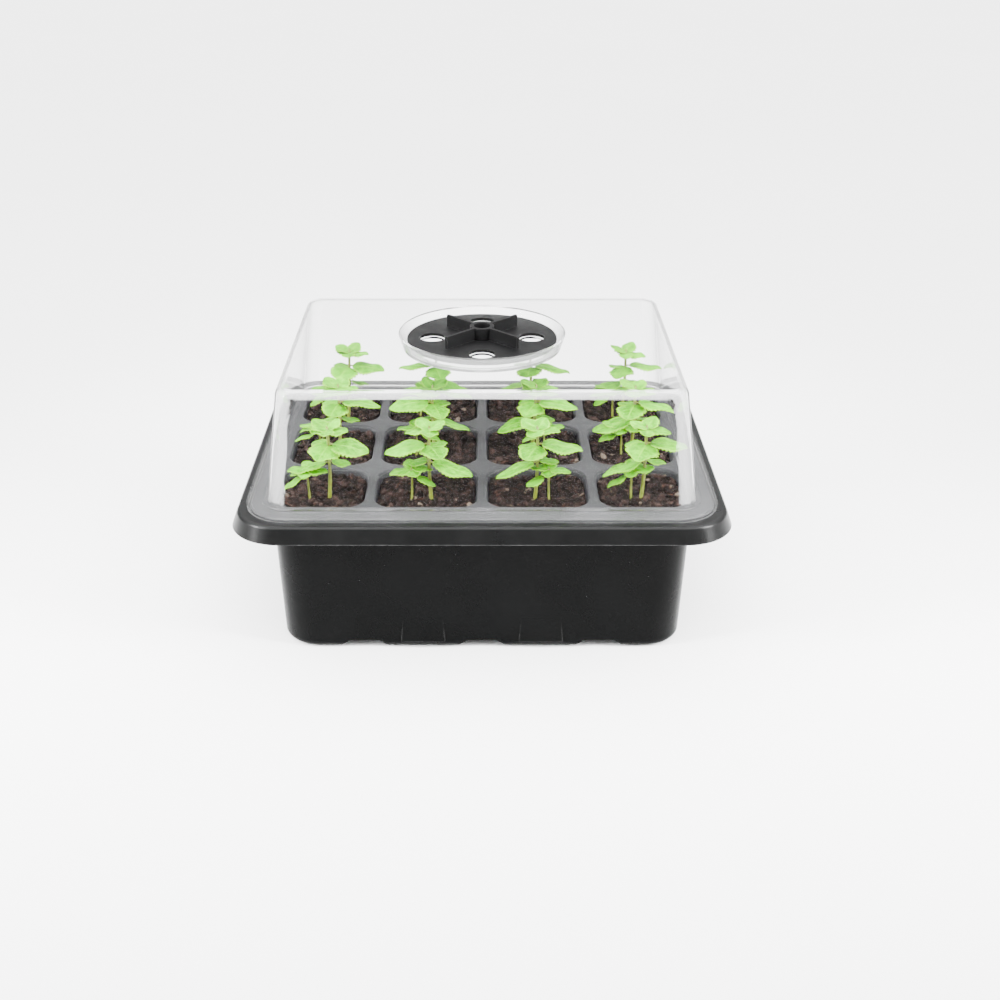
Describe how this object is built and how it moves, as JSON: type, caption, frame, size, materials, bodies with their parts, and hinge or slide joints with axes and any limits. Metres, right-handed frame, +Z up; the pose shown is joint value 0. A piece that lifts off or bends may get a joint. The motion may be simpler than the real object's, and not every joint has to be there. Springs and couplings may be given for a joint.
{
  "type": "humidity dome tray",
  "caption": "Windowsill seed-starting kit: black footed drip tray, lift-out tray of planting cells with soil and seedlings, clear lift-off dome and a turning vent disc in its roof",
  "frame": {"origin": "centre of the footprint on the surface that the feet stand on", "axes": "+X along the longer side (to the right seen from the front), +Y from the front to the back, +Z up"},
  "size_m": [0.18, 0.146, 0.1035],
  "materials": {
    "base_plastic": "gloss",
    "cell_plastic": "satin",
    "clear_plastic": "polished",
    "vent_plastic": "satin",
    "potting_soil": "matte",
    "seedling_green": "satin"
  },
  "bodies": {
    "base": {"base_tub": "base_plastic", "base_rim": "base_plastic"},
    "cells": {"cell_deck": "cell_plastic", "cell_cup_r1c1": "cell_plastic", "cell_cup_r1c2": "cell_plastic", "cell_cup_r1c3": "cell_plastic", "cell_cup_r1c4": "cell_plastic", "cell_cup_r2c1": "cell_plastic", "cell_cup_r2c2": "cell_plastic", "cell_cup_r2c3": "cell_plastic", "cell_cup_r2c4": "cell_plastic", "cell_cup_r3c1": "cell_plastic", "cell_cup_r3c2": "cell_plastic", "cell_cup_r3c3": "cell_plastic", "cell_cup_r3c4": "cell_plastic", "soil_plug_r1c1": "potting_soil", "soil_plug_r1c2": "potting_soil", "soil_plug_r1c3": "potting_soil", "soil_plug_r1c4": "potting_soil", "soil_plug_r2c1": "potting_soil", "soil_plug_r2c2": "potting_soil", "soil_plug_r2c3": "potting_soil", "soil_plug_r2c4": "potting_soil", "soil_plug_r3c1": "potting_soil", "soil_plug_r3c2": "potting_soil", "soil_plug_r3c3": "potting_soil", "soil_plug_r3c4": "potting_soil", "seedlings_r1c1": "seedling_green", "seedlings_r1c2": "seedling_green", "seedlings_r1c3": "seedling_green", "seedlings_r1c4": "seedling_green", "seedlings_r2c1": "seedling_green", "seedlings_r2c2": "seedling_green", "seedlings_r2c3": "seedling_green", "seedlings_r2c4": "seedling_green", "seedlings_r3c1": "seedling_green", "seedlings_r3c2": "seedling_green", "seedlings_r3c3": "seedling_green", "seedlings_r3c4": "seedling_green"},
    "cover": {"dome": "clear_plastic"},
    "vent": {"vent_disc": "vent_plastic"}
  },
  "joints": [
    {"name": "cell_tray_lift", "type": "slide", "parent": "base", "child": "cells", "axis": [0, 0, 1], "range_m": [0, 0.07]},
    {"name": "dome_lift", "type": "slide", "parent": "cells", "child": "cover", "axis": [0, 0, 1], "range_m": [0, 0.06]},
    {"name": "vent_turn", "type": "hinge", "parent": "cover", "child": "vent", "pos_m": [0, 0.011, 0.0981], "axis": [0, 0, 1], "continuous": true}
  ]
}
